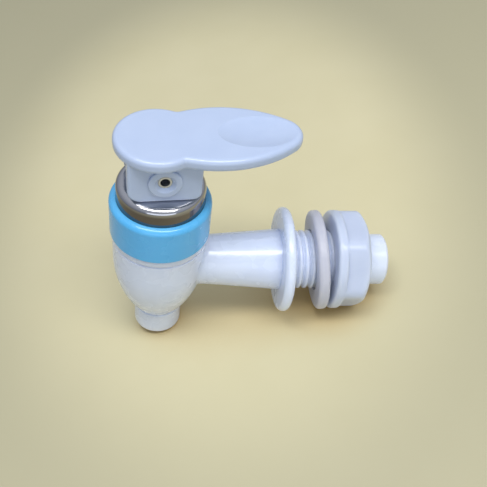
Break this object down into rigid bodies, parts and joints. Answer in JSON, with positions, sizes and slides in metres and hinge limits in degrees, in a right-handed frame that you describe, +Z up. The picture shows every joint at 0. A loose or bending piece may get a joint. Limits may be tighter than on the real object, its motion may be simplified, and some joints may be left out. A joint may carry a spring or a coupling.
{
  "type": "lever dispenser tap",
  "caption": "Plastic lever tap for a drinks tank: swivelling paddle lever lifts a spring-loaded silicone valve; flanged threaded inlet stem with washer and nut.",
  "frame": {"origin": "centre of the flange's rear face, where the tank wall seats, on the inlet stem's axis", "axes": "+X along the inlet stem into the tank, +Z up along the valve axis, spout down"},
  "size_m": [0.0747, 0.0286, 0.0669],
  "materials": {
    "body_plastic": "milky white, moulded gloss",
    "bonnet_plastic": "white, moulded",
    "blue_plastic": "sky blue, gloss",
    "polished_steel": "pressed stainless sheet, mirror polish",
    "silicone": "translucent white silicone",
    "spring_steel": "drawn stainless wire",
    "stem_plastic": "white, moulded",
    "pin_steel": "stainless tube",
    "lever_plastic": "bluish white, moulded gloss",
    "washer_silicone": "translucent white silicone",
    "nut_plastic": "translucent milky white"
  },
  "bodies": {
    "tap": {"tap_body": "body_plastic", "bonnet": "bonnet_plastic", "colour_ring": "blue_plastic", "steel_cap": "polished_steel", "seal_sleeve": "silicone", "valve_spring": "spring_steel"},
    "spring_carrier": {"spring_seat": "spring_steel"},
    "stem": {"valve_stem": "stem_plastic", "lever_pin": "pin_steel"},
    "lever": {"lever": "lever_plastic"},
    "washer": {"sealing_washer": "washer_silicone"},
    "nut": {"mounting_nut": "nut_plastic"}
  },
  "joints": [
    {"name": "valve_lift", "type": "slide", "parent": "tap", "child": "spring_carrier", "axis": [0, 0, 1], "range_m": [0, 0.0025], "stiffness_N_per_m": 800, "springref_m": -0.006, "deforming": ["seal_sleeve", "valve_spring"]},
    {"name": "lever_swivel", "type": "hinge", "parent": "spring_carrier", "child": "stem", "pos_m": [-0.0351, 0, 0.0284], "axis": [0, 0, 1], "continuous": true},
    {"name": "lever_tilt", "type": "hinge", "parent": "stem", "child": "lever", "pos_m": [-0.0351, 0, 0.0344], "axis": [-0.0854, 0.9963, 0], "range_deg": [0, 22]},
    {"name": "clamp_slide", "type": "slide", "parent": "tap", "child": "washer", "axis": [1, 0, 0], "range_m": [-0.0052, 0.0095]},
    {"name": "nut_spin", "type": "hinge", "parent": "washer", "child": "nut", "pos_m": [0.0155, 0, 0], "axis": [1, 0, 0], "range_deg": [-1041, 1901]}
  ],
  "couplings": [
    {"joint": "lever_tilt", "follows": "valve_lift", "rad_per_m": 151.52},
    {"joint": "nut_spin", "follows": "clamp_slide", "rad_per_m": 3490.7}
  ]
}
